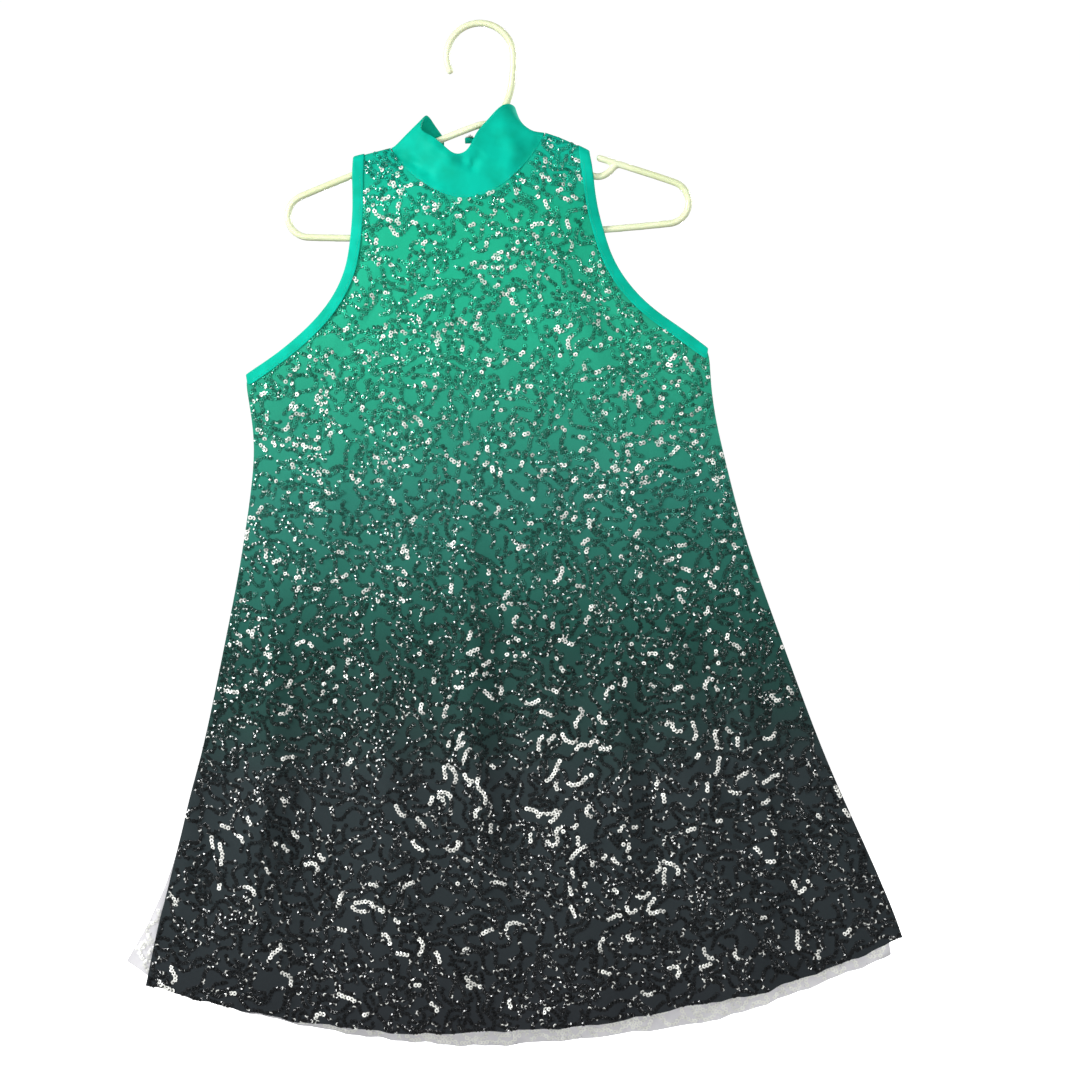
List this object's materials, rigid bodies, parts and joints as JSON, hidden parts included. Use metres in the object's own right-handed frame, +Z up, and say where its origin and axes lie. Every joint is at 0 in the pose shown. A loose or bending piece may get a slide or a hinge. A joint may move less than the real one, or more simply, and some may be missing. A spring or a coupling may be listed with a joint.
{
  "type": "sequin dress on hanger",
  "caption": "Sleeveless A-line sequin dress with a stand-up collar, hung on a tubular plastic hanger by its hook.",
  "frame": {"origin": "the point on the underside of the hook's crown that bears on a rail", "axes": "+Z up, +X to the right of someone facing the dress's front, +Y away from them, towards the dress's back"},
  "size_m": [0.8017, 0.0565, 1.0639],
  "materials": {
    "sequin_cloth": "stretch mesh dyed from green at the top to black at the hem, white behind",
    "plain_knit": "smooth stretch knit with a slight sheen",
    "sequins": "glossy film rings",
    "thread": "fine sewing thread",
    "button": "glossy pearl white",
    "hanger_plastic": "smooth ivory, slightly translucent"
  },
  "bodies": {
    "root": {"front_panel": "sequin_cloth", "back_panel": "sequin_cloth", "collar": "plain_knit", "armhole_binding_left": "plain_knit", "armhole_binding_right": "plain_knit", "neck_tab": "plain_knit", "neck_button": "button", "hanger_frame": "hanger_plastic", "hanger_hook": "hanger_plastic"}
  },
  "joints": []
}
